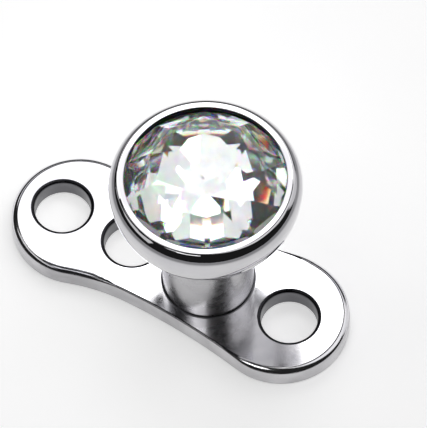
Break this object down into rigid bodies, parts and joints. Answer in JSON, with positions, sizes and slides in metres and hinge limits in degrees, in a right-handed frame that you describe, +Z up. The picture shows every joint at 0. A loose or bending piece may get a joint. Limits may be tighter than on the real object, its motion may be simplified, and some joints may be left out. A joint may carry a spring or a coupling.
{
  "type": "dermal anchor with gem top",
  "caption": "Waisted foot plate with round holes and an upright barrel, and a round cup with a domed cut crystal whose post goes down the barrel.",
  "frame": {"origin": "centre of the plate's flat underside below the barrel's axis", "axes": "+Z up the barrel's axis, +X along the plate towards the heel with its single hole"},
  "size_m": [0.0078, 0.004, 0.0055],
  "materials": {
    "base_steel": "mirror-polished surgical steel",
    "cup_steel": "mirror-polished surgical steel",
    "crystal": "clear cut crystal with a foiled back"
  },
  "bodies": {
    "root": {"anchor_base": "base_steel", "setting": "cup_steel", "crystal": "crystal"}
  },
  "joints": []
}
